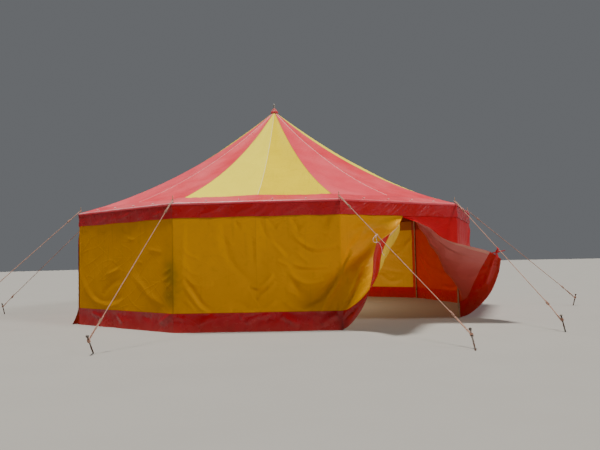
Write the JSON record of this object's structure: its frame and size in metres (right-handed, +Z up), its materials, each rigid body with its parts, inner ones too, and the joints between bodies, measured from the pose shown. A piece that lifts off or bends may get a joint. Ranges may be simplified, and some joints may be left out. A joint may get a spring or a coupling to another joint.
{
  "type": "circus big top tent",
  "caption": "Round circus big top with a striped conical canvas roof on one king pole, side poles, guy ropes and stakes, a valance, and walls tied back at the entrance.",
  "frame": {"origin": "on the ground under the middle of the king pole's base plate", "axes": "+Z up, -Y out through the entrance, +X to the right of someone facing the back wall from the entrance"},
  "size_m": [17.7596, 17.8752, 6.5],
  "materials": {
    "roof_red": "coated canvas, satin",
    "roof_yellow": "coated canvas, satin",
    "wall_red": "coated canvas, satin, creased",
    "wall_yellow": "coated canvas, satin, creased",
    "hem_red": "glossy coated cloth",
    "rope": "laid fibre rope, weathered",
    "steel": "galvanised tube, dulled",
    "dark_steel": "mill-dark steel, some rust",
    "cord_white": "braided cord",
    "ribbon_red": "woven tape"
  },
  "bodies": {
    "root": {"crown_ring": "steel", "guy_line_01": "rope", "guy_line_02": "rope", "guy_line_03": "rope", "guy_line_04": "rope", "guy_line_05": "rope", "guy_line_06": "rope", "guy_line_07": "rope", "guy_line_08": "rope", "guy_line_09": "rope", "guy_line_10": "rope", "hem_back_left": "hem_red", "hem_back_right": "hem_red", "hem_front_left": "hem_red", "hem_front_right": "hem_red", "king_pole": "steel", "king_pole_base": "dark_steel", "left_flap_tie": "cord_white", "peak_cap": "hem_red", "right_flap_tie": "ribbon_red", "roof_panel_01": "roof_red", "roof_panel_02": "roof_yellow", "roof_panel_03": "roof_red", "roof_panel_04": "roof_yellow", "roof_panel_05": "roof_red", "roof_panel_06": "roof_yellow", "roof_panel_07": "roof_red", "roof_panel_08": "roof_yellow", "roof_panel_09": "roof_red", "roof_panel_10": "roof_yellow", "side_pole_01": "steel", "side_pole_02": "steel", "side_pole_03": "steel", "side_pole_04": "steel", "side_pole_05": "steel", "side_pole_06": "steel", "side_pole_07": "steel", "side_pole_08": "steel", "side_pole_09": "steel", "side_pole_10": "steel", "valance": "hem_red", "wall_back_left": "wall_red", "wall_back_right": "wall_yellow", "wall_front_left": "wall_yellow", "wall_front_right": "wall_red"}
  },
  "joints": []
}
